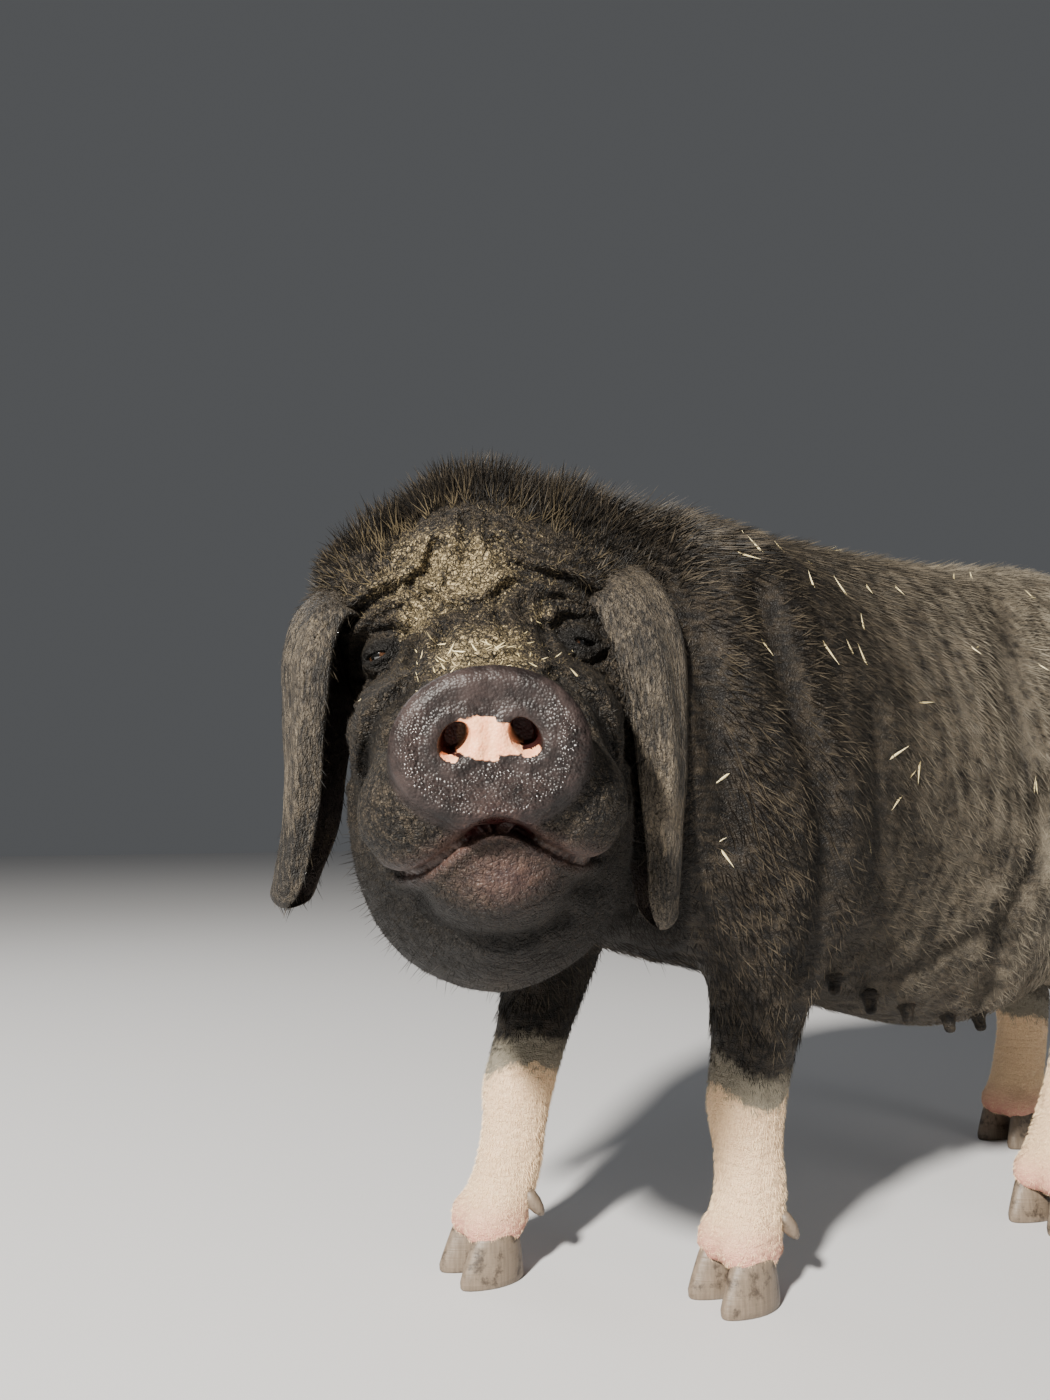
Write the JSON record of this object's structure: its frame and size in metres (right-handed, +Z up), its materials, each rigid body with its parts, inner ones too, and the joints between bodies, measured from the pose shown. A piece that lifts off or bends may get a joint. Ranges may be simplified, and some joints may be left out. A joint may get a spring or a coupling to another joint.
{
  "type": "meishan pig (still model of an adult black Meishan sow)",
  "caption": "Life-size still model of a black Meishan sow in mid step, head turned left, with folded brow, hanging cupped ears, bristly crest, sagging belly and pale socks.",
  "frame": {"origin": "centre of the bounding box on the floor plane, between the four feet", "axes": "+Z up; the sow's body faces -Y and runs along Y, its left side is +X, and its head is turned about 63 degrees to its left"},
  "size_m": [0.5162, 1.095, 0.7013],
  "materials": {
    "coat_black": "wrinkled grey-black skin under a thin bristly black coat",
    "ear_grey": "soft dark grey skin with short hair",
    "snout_wet": "moist, pebbled, purple-grey with a pink patch",
    "eye_dark": "wet and glossy",
    "hoof_horn": "worn horn, satin",
    "tooth_ivory": "satin ivory"
  },
  "bodies": {
    "root": {"dewclaw_fore_left_a": "hoof_horn", "dewclaw_fore_left_b": "hoof_horn", "dewclaw_fore_right_a": "hoof_horn", "dewclaw_fore_right_b": "hoof_horn", "dewclaw_hind_left_a": "hoof_horn", "dewclaw_hind_left_b": "hoof_horn", "dewclaw_hind_right_a": "hoof_horn", "dewclaw_hind_right_b": "hoof_horn", "ear_left": "ear_grey", "ear_right": "ear_grey", "eye_left": "eye_dark", "eye_right": "eye_dark", "head": "coat_black", "hoof_fore_left_a": "hoof_horn", "hoof_fore_left_b": "hoof_horn", "hoof_fore_right_a": "hoof_horn", "hoof_fore_right_b": "hoof_horn", "hoof_hind_left_a": "hoof_horn", "hoof_hind_left_b": "hoof_horn", "hoof_hind_right_a": "hoof_horn", "hoof_hind_right_b": "hoof_horn", "leg_fore_left": "coat_black", "leg_fore_right": "coat_black", "leg_hind_left": "coat_black", "leg_hind_right": "coat_black", "lower_jaw": "coat_black", "neck": "coat_black", "tail": "coat_black", "tooth_left": "tooth_ivory", "tooth_right": "tooth_ivory", "torso": "coat_black"}
  },
  "joints": []
}
